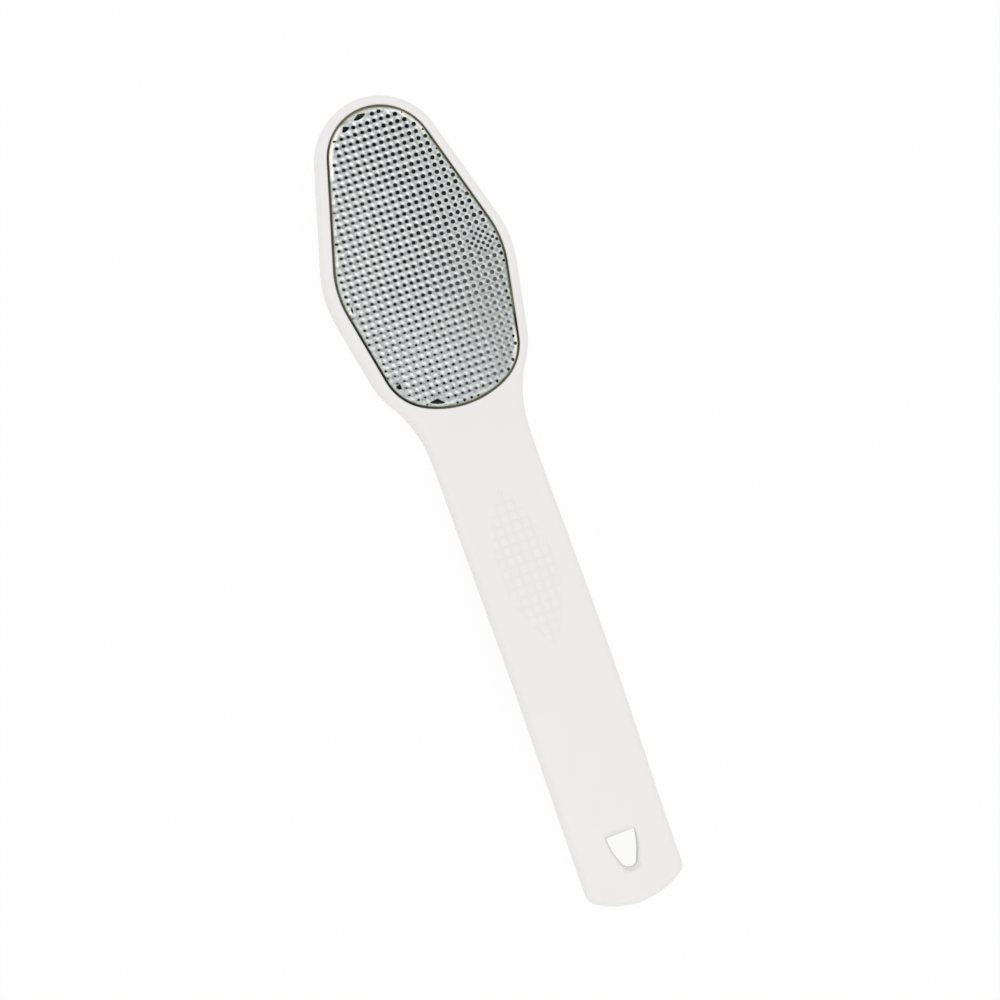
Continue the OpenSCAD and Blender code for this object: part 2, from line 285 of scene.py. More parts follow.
def reach(x, y):
    """Distance of the front or back face from the parting line."""
    return half_t(y) + CROWN_H * off_head(y) * (1 - (2 * x / HANDLE_W) ** 2)


# Meshes
def new_mesh(points, faces):
    """A mesh in metres from points in millimetres."""
    mesh = bpy.data.meshes.new("mesh")
    mesh.from_pydata((np.asarray(points, float) * MM).tolist(), [], faces)
    return mesh


JOIN_GAP = 0.0001 * MM


def tidy(mesh):
    """Joins points that coincide, and turns all faces outwards."""
    bm = bmesh.new()
    bm.from_mesh(mesh)
    bmesh.ops.remove_doubles(bm, verts=bm.verts, dist=JOIN_GAP)
    bmesh.ops.dissolve_degenerate(bm, edges=bm.edges, dist=JOIN_GAP)
    bmesh.ops.recalc_face_normals(bm, faces=bm.faces)
    bm.to_mesh(mesh)
    bm.free()
    return mesh


def new_object(name, data):
    data.name = name
    made = bpy.data.objects.new(name, data)
    scene.collection.objects.link(made)
    return made


def combine(name, mesh, steps):
    """The solid in mesh after each (operation, solid) in turn."""
    made = new_object(name, mesh)
    others = []
    for operation, solid in steps:
        other = new_object(operation, solid)
        others.append(other)
        change = made.modifiers.new(operation, "BOOLEAN")
        change.operation = operation
        change.solver = "MANIFOLD"
        change.object = other
    bpy.context.view_layer.update()
    seen = made.evaluated_get(bpy.context.evaluated_depsgraph_get())
    result = bpy.data.meshes.new_from_object(seen)
    made.modifiers.clear()
    made.data = result
    result.name = name
    for other in others:
        bpy.data.objects.remove(other)
    return made


def shade(obj, angle):
    """Smooth shading with sharp edges over an angle in degrees."""
    obj.data.shade_smooth()
    obj.data.set_sharp_from_angle(angle=math.radians(angle))


def ring_faces(rows, around):
    """Quads between rings of points that follow each other."""
    i = np.arange(rows - 1)[:, None] * around
    j = np.arange(around)[None, :]
    k = (j + 1) % around
    quads = np.stack((i + j, i + k, i + around + k, i + around + j), axis=-1)
    return quads.reshape(-1, 4).tolist()


def layers(outlines, heights):
    """A closed solid through equal outlines, each at its height or heights."""
    n = len(outlines[0])
    rows = [np.column_stack((o, np.broadcast_to(h, n))) for o, h in zip(outlines, heights)]
    points = np.vstack(rows)
    top = (len(outlines) - 1) * n
    faces = ring_faces(len(outlines), n)
    faces.append(list(range(n)))
    faces.append([top + i for i in reversed(range(n))])
    return tidy(new_mesh(points, faces))


def band(a, b):
    """Quads between two rings of point numbers."""
    n = len(a)
    return [[a[i], a[(i + 1) % n], b[(i + 1) % n], b[i]] for i in range(n)]


def prisms_mesh(prisms):
    """Separate upright prisms, each given as outline, low end and high end."""
    points = []
    faces = []
    for outline, low, high in prisms:
        n = len(outline)
        base = len(points)
        points += [(x, y, z) for z in (low, high) for x, y in outline]
        faces.append([base + i for i in reversed(range(n))])
        faces.append([base + n + i for i in range(n)])
        faces += band(range(base, base + n), range(base + n, base + 2 * n))
    return new_mesh(points, faces)


def rectangle(x, y):
    return ((-x, -y), (x, -y), (x, y), (-x, y))


def disc(x, y, r):
    turn = np.linspace(0, 2 * np.pi, PIN_SIDES, endpoint=False)
    return [(x + r * math.cos(t), y + r * math.sin(t)) for t in turn]


# Grip field: a leaf of low rounded pips on the front of the handle
GRIP_TOP_Y = 4.3
GRIP_LOW_Y = -40.6
GRIP_HALF_W = 7.7
GRIP_FULLNESS = 2.2
PIP_PITCH = (2.5, 2.845)
PIP_HALF = (0.93, 1.08)
PIP_PHASE_Y = -15.73
PIP_POWER = 3.6
PIP_SOFT = 0.32
PIP_RISE = 0.16
PIP_WEAR = 0.55
# How far a pip may pass the leaf's edge, and what scatters the pips' wear
PIP_PAST_EDGE = 0.3
SCATTER = (12.9, 78.2, 437.0)
GRIP_SINK = 0.13
GRIP_EDGE = 1.2


def smooth_step(t):
    t = np.clip(t, 0, 1)
    return t * t * (3 - 2 * t)


def fade(value, start, run):
    """A soft step from 0 at start to 1 at start + run. A run below 0 goes downwards."""
    return smooth_step((value - start) / run)


def leaf_half_width(y):
    middle = (GRIP_TOP_Y + GRIP_LOW_Y) / 2
    u = np.abs(y - middle) / ((GRIP_TOP_Y - GRIP_LOW_Y) / 2)
    return GRIP_HALF_W * (1 - np.clip(u, 0, 1) ** GRIP_FULLNESS)


def grip_relief(x, y):
    """Height of the grip field over the face."""
    inside = smooth_step((leaf_half_width(y) - np.abs(x)) / GRIP_EDGE + 0.5)
    inside = inside * (y < GRIP_TOP_Y) * (y > GRIP_LOW_Y)
    column = np.floor(x / PIP_PITCH[0])
    row = np.round((y - PIP_PHASE_Y) / PIP_PITCH[1])
    pip_x = (column + 0.5) * PIP_PITCH[0]
    pip_y = PIP_PHASE_Y + row * PIP_PITCH[1]
    dx = np.abs(x - pip_x) / PIP_HALF[0]
    dy = np.abs(y - pip_y) / PIP_HALF[1]
    away = (dx**PIP_POWER + dy**PIP_POWER) ** (1 / PIP_POWER)
    kept = leaf_half_width(pip_y) > np.abs(pip_x) - PIP_HALF[0] * PIP_PAST_EDGE
    mixed = np.abs(np.sin(column * SCATTER[0] + row * SCATTER[1])) * SCATTER[2]
    wear = PIP_WEAR * np.modf(mixed)[0]
    pip = smooth_step((1 - away) * PIP_HALF[0] / PIP_SOFT + 0.5) * kept * (1 - wear)
    return PIP_RISE * pip - GRIP_SINK * np.maximum(inside, pip)


def spaced(top, low, step):
    """Values from just under top down to just over low, about a step apart."""
    count = max(int(round((top - low) / step)), 2)
    return np.linspace(top, low, count + 1)[1:-1]


GRIP_STEP = 0.19
COARSE_STEP = 2.6
GRIP_ZONE = (GRIP_TOP_Y + 0.6, GRIP_LOW_Y - 0.6)
FINE_ZONES = (
    (NECK_C[1], GRIP_ZONE[0], COARSE_STEP),
    (GRIP_ZONE[0] + GRIP_STEP, GRIP_ZONE[1] - GRIP_STEP, GRIP_STEP),
    (GRIP_ZONE[1], TAIL_CORNER_C[1], COARSE_STEP),
)
FINE_YS = np.concatenate([spaced(*zone) for zone in FINE_ZONES])
PLAIN_YS = spaced(NECK_C[1], TAIL_CORNER_C[1], COARSE_STEP)
# Places across the face from its right edge to its left, as shares of half its width
CAP_HALF = HANDLE_W / 2 - DRAFT - EDGE_R
FINE_HALF = GRIP_HALF_W + 0.8
FINE_SHARE = FINE_HALF / CAP_HALF
FINE_COUNT = int(round(2 * FINE_HALF / GRIP_STEP)) + 1
FINE_MIDDLE = np.linspace(FINE_SHARE, -FINE_SHARE, FINE_COUNT)
FINE_SIDE = np.linspace(1, FINE_SHARE, 6)[1:-1]
FINE_SHARES = np.concatenate((FINE_SIDE, FINE_MIDDLE, -FINE_SIDE[::-1]))
PLAIN_SHARES = np.linspace(1, -1, 13)[1:-1]
INNER_SHARES = np.linspace(1, -1, 5)[1:-1]


def round_rings(inset, radius, steps, end=90):
    """Rings round an edge: inset, distance from the face, and 1."""
    turns = [end * k / steps for k in range(steps + 1)]
    return [(inset + radius * (1 - cosd(t)), radius * (1 - sind(t)), 1) for t in turns]


# Rings of a skin from the parting line to the face: inset, distance, and 0 where that is
# measured from the parting line or 1 where it is from the face
SEAM_RINGS = [(SEAM * inset, SEAM * off, 0) for inset, off in SEAM_SHARES]
OUTER_RINGS = SEAM_RINGS + round_rings(DRAFT, EDGE_R, EDGE_STEPS)
INNER_RINGS = [(WALL, 0.0, 0)] + round_rings(WALL + DRAFT, INNER_R, INNER_STEPS)


def skin_rows(rings, ys, side, depth, seat, shares, relief):
    """Points of one skin, as rows from its right side over the face to its left."""
    paths = [body_half(ring[0], ys) for ring in rings]

    def lifted(xy, ring):
        x, y = xy.T
        low = depth + seat * (1 - off_head(y))
        off = reach(x, y) - low - ring[1] if ring[2] else np.full(len(x), ring[1])
        if relief is not None and ring is rings[-1]:
            off = off + relief(x, y)
        return np.column_stack((x, y, mid_z(y) + side * off))

    right = [lifted(path, ring) for path, ring in zip(paths, rings)]
    last = paths[-1]
    middle = [lifted(last * (share, 1), rings[-1]) for share in shares]
    left = [lifted(path * (-1, 1), ring) for path, ring in zip(paths, rings)]
    return np.stack(right + middle + left[::-1], axis=1)


# Each shell's places along and across its face, and the face's relief
FACES = {1: (FINE_YS, FINE_SHARES, grip_relief), -1: (PLAIN_YS, PLAIN_SHARES, None)}


def shell_mesh(side, seat):
    """The hollow shell on one side of the parting line."""
    ys, shares, relief = FACES[side]
    outer = skin_rows(OUTER_RINGS, ys, side, 0.0, 0.0, shares, relief)
    inner = skin_rows(INNER_RINGS, ys, side, WALL, seat, INNER_SHARES, None)
    rows = np.concatenate((outer, inner[:, ::-1]), axis=1)
    count, around = rows.shape[:2]
    return tidy(new_mesh(rows.reshape(-1, 3), ring_faces(count, around)))


def outline_normals(outline):
    """Outward directions at the points of a clockwise outline."""
    ahead = np.roll(outline, -1, axis=0) - np.roll(outline, 1, axis=0)
    out = np.column_stack((-ahead[:, 1], ahead[:, 0]))
    return out / np.linalg.norm(out, axis=1)[:, None]


# Pins of the head, as shares of the pocket's half width and its length, and of the handle
HEAD_PINS = ((0.0, 0.18), (-0.6, 0.5), (0.6, 0.5), (0.0, 0.85))
HANDLE_PINS = (0.1, 0.5, 0.9)
PIN_RUN = HOLE_Y + RIB_PITCH / 2 - NECK_Y
PINS = [(x * POCKET_W / 2, POCKET_TOP_Y - y * POCKET_LEN) for x, y in HEAD_PINS]
PINS += [(0.0, NECK_Y + y * PIN_RUN) for y in HANDLE_PINS]
# The hang hole's edge at each face: how much wider it is, and the round's height and width
HOLE_EDGES = {
    1: (0.0, HOLE_LIP_DEPTH, HOLE_STEP),
    -1: (HOLE_FLARE - HOLE_STEP + HOLE_ROUND, HOLE_ROUND, HOLE_ROUND),
}
LAST_RIB = math.floor((POCKET_TOP_Y - POCKET_TOP_R / 2 - HEAD_END_Y) / RIB_PITCH)
FIRST_RIB = -math.floor((HEAD_END_Y - HOLE_Y - 2 * COLLAR_WALL) / RIB_PITCH)


def hole_outline(d):
    """The hang hole's outline where it is wider all round by d than at the front face."""
    share = 1 + 2 * d / HOLE_LEN
    length = HOLE_LEN + (1 + HOLE_FOOT_SHARE) * d
    half = hole_half(HOLE_W + 2 * d, length, HOLE_LOW_R * share, HOLE_CORNER_R * share)
    return whole(half) + (0, HOLE_Y + d)


def half_width(y):
    path = body_half(0.0, PLAIN_YS)
    return float(np.interp(-y, -path[:, 1], path[:, 0]))


def hang_hole_cutter(side):
    """The opening through one shell, with a rounded edge at the face."""
    middle = mid_z(HOLE_MID_Y)
    rise = reach(0.0, HOLE_MID_Y)
    widening = HOLE_FLARE / (2 * rise - HOLE_LIP_DEPTH)
    at_middle = hole_outline(widening * (rise - HOLE_LIP_DEPTH) - HOLE_STEP)
    outlines = [at_middle, at_middle]
    heights = [middle - side * OVER, middle]
    wide, tall, spread = HOLE_EDGES[side]
    for k in range(ROUND_STEPS + 1):
        turn = ROUND_END * k / ROUND_STEPS
        xy = hole_outline(wide - spread * cosd(turn))
        face = mid_z(xy[:, 1]) + side * reach(xy[:, 0], xy[:, 1])
        outlines.append(xy)
        heights.append(face - side * tall * (1 - sind(turn)))
    outlines.append(hole_outline(wide))
    heights.append(heights[-1] + side * OVER)
    return layers(outlines, heights)


def pocket_cutter(side, seat):
    """The head's pocket with a rounded inner edge of the rim."""
    rim = HEAD_MID_Z + side * HEAD_T / 2
    rounds = round_rings(0.0, POCKET_ROUND, ROUND_STEPS, ROUND_END)
    outlines = [pocket(0.0)] * 3 + [pocket(-ring[0]) for ring in rounds]
    depths = list(np.linspace(seat, seat / 2, 3)) + [ring[1] for ring in rounds]
    outlines.append(pocket(-POCKET_ROUND))
    depths.append(-OVER)
    return layers(outlines, [rim - side * depth for depth in depths])


def rib_boxes(side, seat):
    boxes = []
    for n in range(FIRST_RIB, LAST_RIB + 1):
        y = HEAD_END_Y + n * RIB_PITCH
        low = WALL / 2 + seat * (1 - off_head(y))
        wide = half_width(y)
        tall = reach(wide, y) - low - RIB_GAP
        half = wide - WALL / 2
        near = mid_z(y) + side * RIB_GAP
        ends = sorted((near, near + side * tall))
        corners = [(x, y + t) for x, t in rectangle(half, RIB_T / 2)]
        boxes.append((corners, *ends))
    return boxes


def rods(side, seat, radius, near):
    """Rods at the pins' places from a height over the parting line into the face's wall."""
    made = []
    for x, y in PINS:
        far = reach(x, y) - WALL / 2 - seat * (1 - off_head(y))
        ends = sorted((mid_z(y) + side * near, mid_z(y) + side * far))
        made.append((disc(x, y, radius), *ends))
    return made


def collar_mesh(side):
    middle = mid_z(HOLE_MID_Y)
    tall = reach(0.0, HOLE_MID_Y) - WALL / 2
    outline = hole_outline(HOLE_FLARE - HOLE_STEP)
    outline = outline + outline_normals(outline) * COLLAR_WALL
    return layers([outline, outline], [middle, middle + side * tall])


def build_shell(name, side, seat):
    """One shell with what is moulded in one with it."""
    steps = [("UNION", prisms_mesh(rib_boxes(side, seat))), ("UNION", collar_mesh(side))]
    if side > 0:
        steps.append(("UNION", prisms_mesh(rods(side, seat, PIN_D / 2, -PIN_REACH))))
    else:
        socket_r = PIN_D / 2 + PIN_GAP
        posts = rods(side, seat, socket_r + SOCKET_WALL, RIB_GAP)
        ends = [(mid_z(y) - SOCKET_DEPTH, mid_z(y) + OVER) for _, y in PINS]
        bores = [(disc(x, y, socket_r), *z) for (x, y), z in zip(PINS, ends)]
        steps += [("UNION", prisms_mesh(posts)), ("DIFFERENCE", prisms_mesh(bores))]
    steps.append(("DIFFERENCE", pocket_cutter(side, seat)))
    steps.append(("DIFFERENCE", hang_hole_cutter(side)))
    made = combine(name, shell_mesh(side, seat), steps)
    shade(made, BODY_SHARP)
    return made


front_body = build_shell("front_body", 1, RASP_SEAT)
back_body = build_shell("back_body", -1, EMERY_SEAT)

# Rasp: a stamped sheet with a rounded margin and a lattice of punched, raised teeth
LATTICE_AT = (0.3, 69.54)
LATTICE_X = (1.987, -0.36)
LATTICE_Y = (2.006, 88.44)
LATTICE_ROWS = 24
LATTICE_COLUMNS = 16
SEED = 7
TOOTH_SIDES = 12
TOOTH_REACH = 0.95
LEAST_INSET = 0.45
LEAST_FREE = 0.36
LOOP_GAP = 0.03
RING_SHARES = (1.0, 0.62, 0.32, 0.1, 0.0)
NEAR = 3.4
CDT_GAP = 1e-7
JITTER = 0.055
# Soft steps across and up the sheet: start and run
LEFT = (9.0, -28.0)
RIGHT = (6.0, 9.0)
LOW = (66.0, -24.0)
HIGH = (86.0, 14.0)
# Bores: radius, loss at the left and low down, scatter, and most share of the room
BORE_R = 0.6
BORE_LESS = (0.09, 0.15)
BORE_SCATTER = 0.04
BORE_SHARE = (0.64, 0.76)
# The hump beside a bore: how far off its crest is, its spreads towards the bore, away from
# it and sideways, and what the last gains at the left
CREST_AT = 0.62
CREST_SPREADS = (0.22, 0.42, 0.55)
CREST_GAIN = 0.12
# Its height and lean, with gain at the left and scatter, and its direction and scatter
TALL = (0.22, 0.26, 0.04)
LEAN = (0.03, 0.24, 0.02)
LEAN_POWERS = (1.5, 3)
UP_FACE = (57.0, 9.0)
# How much lower it is at the margin, and how much less so at the left
MARGIN_LESS = (0.7, 0.5)
# The burr on the bore's lip, and its share of the tooth
BURR = 0.03
BURR_SHARE = 0.3
# Painted streaks round a bore: how far ahead, in which direction, and spreads across and along it.
# Painted shade lies in the rows of bores and in mottles, painted highlights and glints on the
# crests.
# Gains are what the high end or the left adds, what the right takes off, and the least that
# scatter keeps
STREAKS = {
    "painted_shade": (-0.1, LATTICE_X[1] + 90, (1.0, 0.42)),
    "mottle_shade": (1.37, -48.0, (0.4, 0.4)),
    "painted_highlight": (0.86, 47.0, (0.62, 0.3)),
    "glint": (0.85, 7.0, (0.5, 0.26)),
}
SHADE_GAINS = (0.35, 0.6, 0.75)
HIGHLIGHT_GAINS = (0.15, 0.75, 0.7)
GLINT_MOST = 0.85
# Darker towards the low right: soft steps across and down, and its share of the painted shade
DARKER_ACROSS = (4.0, 12.0)
DARKER_DOWN = (70.0, -24.0)
DARKER_SHARE = 0.22
# Where the punch slipped: middle, radius and how far off, and where it struck twice
KNOT = (17.1, 67.6, 5.5, 0.15)
TWICE_R = 3.1
EDGE_INSET = 0.05
EDGE_DROP = 0.12
MARGIN_POWER = 1.6
MARGIN_RINGS = (0.16, 0.3, 0.48, 0.7, 0.95, 1.2, 1.6)
MARGIN_STEP = 0.55
# Painted highlights on the margin: place and radius, and the margin's paler tone elsewhere
RIM_HIGHLIGHTS = ((-11.7, 102.9, 9.0), (11.0, 105.0, 7.0), (19.5, 37.0, 8.0))
RIM_BAND = 1.1
RIM_LEAST = 0.25
# Openings torn along the margin: place, half length, reach down and up, and turn
TORN = (
    (-2.1, 109.9, 1.9, 0.75, 0.8, 14.0),
    (-6.75, 107.75, 1.2, 0.6, 1.05, 22.0),
    (-16.4, 38.3, 0.85, 0.6, 1.05, -35.0),
    (-8.0, 31.1, 2.2, 0.35, 1.15, -19.0),
    (-21.38, 61.7, 0.95, 0.3, 0.3, 87.0),
)
# Where the punch missed
BARE = ((-8.5, 107.5), (-4.4, 109.6), (-12.8, 101.7), (5.6, 109.5))
BARE_R = 1.0
TORN_SIDES = 16
TORN_SLACK = 0.06


def inset_of(points, outline):
    """How far each point lies inside a convex clockwise outline."""
    ahead = np.roll(outline, -1, axis=0) - outline
    out = np.column_stack((-ahead[:, 1], ahead[:, 0]))
    out = out / np.linalg.norm(ahead, axis=1)[:, None]
    return -(np.atleast_2d(points) @ out.T - (outline * out).sum(axis=1)).max(axis=1)


def even_loop(outline, step):
    """A closed outline with points about a step apart."""
    closed = np.vstack((outline, outline[:1]))
    run = np.concatenate(([0.0], np.cumsum(np.linalg.norm(np.diff(closed, axis=0), axis=1))))
    at = np.linspace(0.0, run[-1], int(run[-1] / step), endpoint=False)
    return np.column_stack((np.interp(at, run, closed[:, 0]), np.interp(at, run, closed[:, 1])))


CELL = [step * np.array((cosd(turn), sind(turn))) for step, turn in (LATTICE_X, LATTICE_Y)]


def torn_outline(torn):
    """A torn opening's clockwise outline: a peak over its long axis and a bow below."""
    x, y, long, down, up, turn = torn
    a = -np.arange(TORN_SIDES) * 2 * np.pi / TORN_SIDES
    u = long * np.cos(a)
    v = np.where(np.sin(a) > 0, up * (1 - np.abs(np.cos(a))), down * np.sin(a))
    across = (x + u * cosd(turn) - v * sind(turn), y + u * sind(turn) + v * cosd(turn))
    return np.column_stack(across)


def torn_gap(points):
    """How far points are from the nearest torn opening."""
    return np.min([-inset_of(points, torn_outline(torn)) for torn in TORN], axis=0)


def tooth_places(edge, draw):
    """Bores with their free radius and inset, and places without room for one."""
    places = []
    for j in range(-LATTICE_ROWS, LATTICE_ROWS + 1):
        for i in range(-LATTICE_COLUMNS, LATTICE_COLUMNS + 1):
            p = np.array(LATTICE_AT) + i * CELL[0] + j * CELL[1]
            off = math.hypot(p[0] - KNOT[0], p[1] - KNOT[1])
            slip = JITTER + (KNOT[3] - JITTER) * float(smooth_step(1 - off / KNOT[2]))
            places.append(p + (draw.uniform(-slip, slip), draw.uniform(-slip, slip)))
            if off < TWICE_R:
                places.append(places[-1] + (CELL[0] + CELL[1]) / 2)
    places = np.array(places)
    inset = inset_of(places, edge)
    places = places[inset > 0]
    inset = inset[inset > 0]
    found = []
    missed = []
    for p, room in zip(places, inset):
        near = np.sort(np.linalg.norm(places - p, axis=1))[1] / 2
        torn = float(torn_gap(p)[0])
        free = min(TOOTH_REACH, room - EDGE_INSET - LOOP_GAP, near - LOOP_GAP, torn - LOOP_GAP)
        bare = np.linalg.norm(np.array(BARE) - p, axis=1).min() < BARE_R
        if free > LEAST_FREE and not bare:
            found.append((p[0], p[1], free, room))
        elif not bare and torn > LEAST_INSET:
            missed.append((p[0], p[1], LEAST_FREE, room))
    return found, missed


def draw_tooth(place, draw):
    """Sizes of one tooth. Teeth on the left are taller and lean more."""
    x, y, free, room = place
    left = float(fade(x, *LEFT))
    right = float(fade(x, *RIGHT))
    low = float(fade(y, *LOW))
    high = float(fade(y, *HIGH))
    plain = MARGIN_LESS[0] - MARGIN_LESS[1] * left
    inner = 1 - plain * (1 - float(smooth_step(room - LEAST_INSET)))
    bore = BORE_R - BORE_LESS[0] * left - BORE_LESS[1] * low
    most = BORE_SHARE[0] + (BORE_SHARE[1] - BORE_SHARE[0]) * right
    # Strengths of this tooth's painted highlight and painted shade
    painted_highlight = 1 + HIGHLIGHT_GAINS[0] * left - HIGHLIGHT_GAINS[1] * right
    painted_shade = 1 + SHADE_GAINS[0] * high - SHADE_GAINS[1] * right

    def scatter(by):
        return draw.uniform(-by, by)

    return {
        "x": x,
        "y": y,
        "free": free,
        "bore": min(bore + scatter(BORE_SCATTER), most * free),
        "tall": (TALL[0] + TALL[1] * left + scatter(TALL[2])) * inner,
        "lean": LEAN[0] + LEAN[1] * left + scatter(LEAN[2]),
        "wide": CREST_SPREADS[2] + CREST_GAIN * left,
        "up": UP_FACE[0] + scatter(UP_FACE[1]),
        "painted_highlight": painted_highlight * inner * draw.uniform(HIGHLIGHT_GAINS[2], 1.0),
        "painted_shade": painted_shade * draw.uniform(SHADE_GAINS[2], 1.0),
        # Painted glint and painted mottle shade, on the right
        "glint": GLINT_MOST * right,
        "mottle_shade": right,
    }


def tooth_rings(tooth):
    """Rings of one tooth in the plan, from outside to its bore's lip, and its foot."""
    up = math.radians(tooth["up"])
    turn = np.arange(TOOTH_SIDES) * 2 * np.pi / TOOTH_SIDES + up
    facing_up = np.clip(np.cos(turn - up), 0, 1) ** LEAN_POWERS[0]
    middle = (tooth["x"], tooth["y"])
    ways = np.column_stack((np.cos(turn), np.sin(turn)))
    rings = []
    for share in RING_SHARES:
        far = tooth["bore"] + share * (tooth["free"] - tooth["bore"])
        far = far - tooth["lean"] * facing_up * (1 - share) ** LEAN_POWERS[1]
        rings.append(ways * far[:, None] + middle)
    return rings + [ways * tooth["bore"] + middle]


def torn_ring(torn, draw):
    """A ragged ring just inside the outline of a torn opening."""
    middle = np.array(torn[:2])
    slack = np.array([draw.uniform(0, TORN_SLACK) for _ in range(TORN_SIDES)])
    return middle + (torn_outline(torn) - middle) * (1 - slack)[:, None]


def round_tooth(points, tooth, face):
    """Points near a tooth, and how far they are along and across a direction."""
    dx = points[:, 0] - tooth["x"]
    dy = points[:, 1] - tooth["y"]
    near = np.nonzero(np.abs(dx) + np.abs(dy) < NEAR)[0]
    along = dx[near] * cosd(face) + dy[near] * sind(face)
    across = dy[near] * cosd(face) - dx[near] * sind(face)
    return near, along, across


def humps(points, teeth):
    """Height of the teeth's humps at points in the plan."""
    total = np.zeros(len(points))
    for tooth in teeth:
        near, along, across = round_tooth(points, tooth, tooth["up"])
        along = along - CREST_AT
        spread = np.where(along < 0, CREST_SPREADS[0], CREST_SPREADS[1])
        away = (along / spread) ** 2 + (across / tooth["wide"]) ** 2
        total[near] += tooth["tall"] * np.exp(-away / 2)
    return total


def streaks(points, teeth, key, ahead, face, spreads):
    """Sum of soft streaks, one ahead of each tooth's middle, at points in the plan."""
    total = np.zeros(len(points))
    for tooth in teeth:
        near, along, across = round_tooth(points, tooth, face)
        away = (across / spreads[0]) ** 2 + ((along - ahead) / spreads[1]) ** 2
        total[near] += tooth[key] * np.exp(-away)
    return np.clip(total, 0, 1)


def sheet_drop(points, edge):
    """How far the sheet's top lies under its field at points in the plan."""
    away = np.clip(inset_of(points, edge) / MARGIN_W, 0, 1)
    return PAD_T * (1 - away) ** MARGIN_POWER


def free_points(edge, teeth):
    """Points between the teeth: rings along the margin and the middles of the cells."""
    points = [even_loop(pocket(SHEET_GAP + d), MARGIN_STEP) for d in MARGIN_RINGS]
    places = np.array([(tooth["x"], tooth["y"]) for tooth in teeth])
    points = np.vstack(points + [places + (CELL[0] + CELL[1]) / 2])
    reaches = np.array([tooth["free"] for tooth in teeth])
    gaps = np.linalg.norm(points[:, None, :] - places[None, :, :], axis=2) - reaches
    kept = (gaps.min(axis=1) > 2 * LOOP_GAP) & (inset_of(points, edge) > EDGE_INSET + LOOP_GAP)
    return points[kept & (torn_gap(points) > 2 * LOOP_GAP)]


def triangulate(flat, edges, gap):
    """Triangles between points in the plan that keep the edges."""
    made = delaunay_2d_cdt([Vector(p) for p in flat.tolist()], edges, [], 1, gap)
    source = [ids[0] for ids in made[3]]
    return [[source[v] for v in face] for face in made[2]]


def plate_faces(loops, free):
    """Triangles between the loops, which stay open inside every loop but the first."""
    flat = np.vstack(loops + [free])
    owner = [np.full(len(loop), k) for k, loop in enumerate(loops)] + [np.zeros(len(free))]
    owner = np.concatenate(owner).astype(int)
    edges = []
    start = 0
    for loop in loops:
        n = len(loop)
        edges += [(start + i, start + (i + 1) % n) for i in range(n)]
        start += n
    faces = []
    for ids in triangulate(flat, edges, CDT_GAP):
        owners = {int(owner[v]) for v in ids}
        if owners == {0} or len(owners) > 1:
            faces.append(ids)
    return flat, faces


def sheet_solid(edge, teeth, torn):
    """Points and faces of the closed sheet with its bores and torn openings."""
    rings = [tooth_rings(tooth) for tooth in teeth]
    rim = even_loop(pocket(SHEET_GAP + EDGE_INSET), MARGIN_STEP)
    flat, plate = plate_faces([rim] + [ring[0] for ring in rings] + torn, free_points(edge, teeth))
    total = len(flat)
    inner = np.array([ring[1:-1] for ring in rings])
    lips = np.clip(1 - np.array(RING_SHARES[1:]) / BURR_SHARE, 0, 1) * BURR
    lips = np.broadcast_to(lips[None, :, None], inner.shape[:3]).reshape(-1)
    inner = inner.reshape(-1, 2)
    feet = np.vstack([ring[-1] for ring in rings])

    def on_top(xy):
        return np.column_stack((xy, humps(xy, teeth) - sheet_drop(xy, edge)))

    def underneath(xy):
        return np.column_stack((xy, -SHEET_T - sheet_drop(xy, edge)))

    rim_out = rim + outline_normals(rim) * EDGE_INSET
    n = len(rim)
    points = [
        on_top(flat),
        underneath(flat),
        on_top(inner) + np.column_stack((np.zeros((len(inner), 2)), lips)),
        underneath(feet),
        np.column_stack((rim_out, np.full(n, -PAD_T - EDGE_DROP))),
        np.column_stack((rim_out, np.full(n, -PAD_T - SHEET_T))),
    ]
    faces = plate + [[total + v for v in reversed(ids)] for ids in plate]

    def wall(firsts, count):
        for a, b in zip(firsts, firsts[1:]):
            faces.extend(band(range(a, a + count), range(b, b + count)))

    between = len(RING_SHARES) - 1
    feet_at = 2 * total + len(inner)
    for k in range(len(rings)):
        start = n + k * TOOTH_SIDES
        firsts = [2 * total + (k * between + r) * TOOTH_SIDES for r in range(between)]
        wall([start, *firsts, feet_at + k * TOOTH_SIDES, total + start], TOOTH_SIDES)
    start = n + len(rings) * TOOTH_SIDES
    for ring in torn:
        wall([start, total + start], len(ring))
        start += len(ring)
    last = feet_at + len(feet)
    wall([0, last, last + n, total], n)
    return np.vstack(points) + (0, 0, RASP_TOP_Z), faces


def sheet_tones(points, teeth, edge):
    """Shares of painted shade, of painted highlight, and of the rim's paler tone with painted
    highlights at the sheet's points.
    """
    tones = {key: streaks(points, teeth, key, *place) for key, place in STREAKS.items()}
    # Darker towards the low right
    darker = fade(points[:, 0], *DARKER_ACROSS) * fade(points[:, 1], *DARKER_DOWN)
    painted_shade = np.clip(np.maximum(tones["painted_shade"], tones["mottle_shade"]) + DARKER_SHARE * darker, 0, 1)
    painted_highlight = np.maximum(tones["painted_highlight"], tones["glint"])
    away = inset_of(points[:, :2], edge)
    rim = RIM_LEAST * (1 - smooth_step((away - RIM_BAND / 2) / RIM_BAND))
    for x, y, r in RIM_HIGHLIGHTS:
        near = np.hypot(points[:, 0] - x, points[:, 1] - y) / r
        rim += smooth_step(2 - 2 * near) * (1 - smooth_step((away - RIM_BAND / 3) / RIM_BAND))
    return {"painted_shade": painted_shade, "painted_highlight": painted_highlight, "rim": np.clip(rim, 0, 1)}


def add_layer(mesh, key, values):
    """A number at each point of a mesh, for its material."""
    layer = mesh.attributes.new(key, "FLOAT", "POINT")
    layer.data.foreach_set("value", values.astype(np.float32))


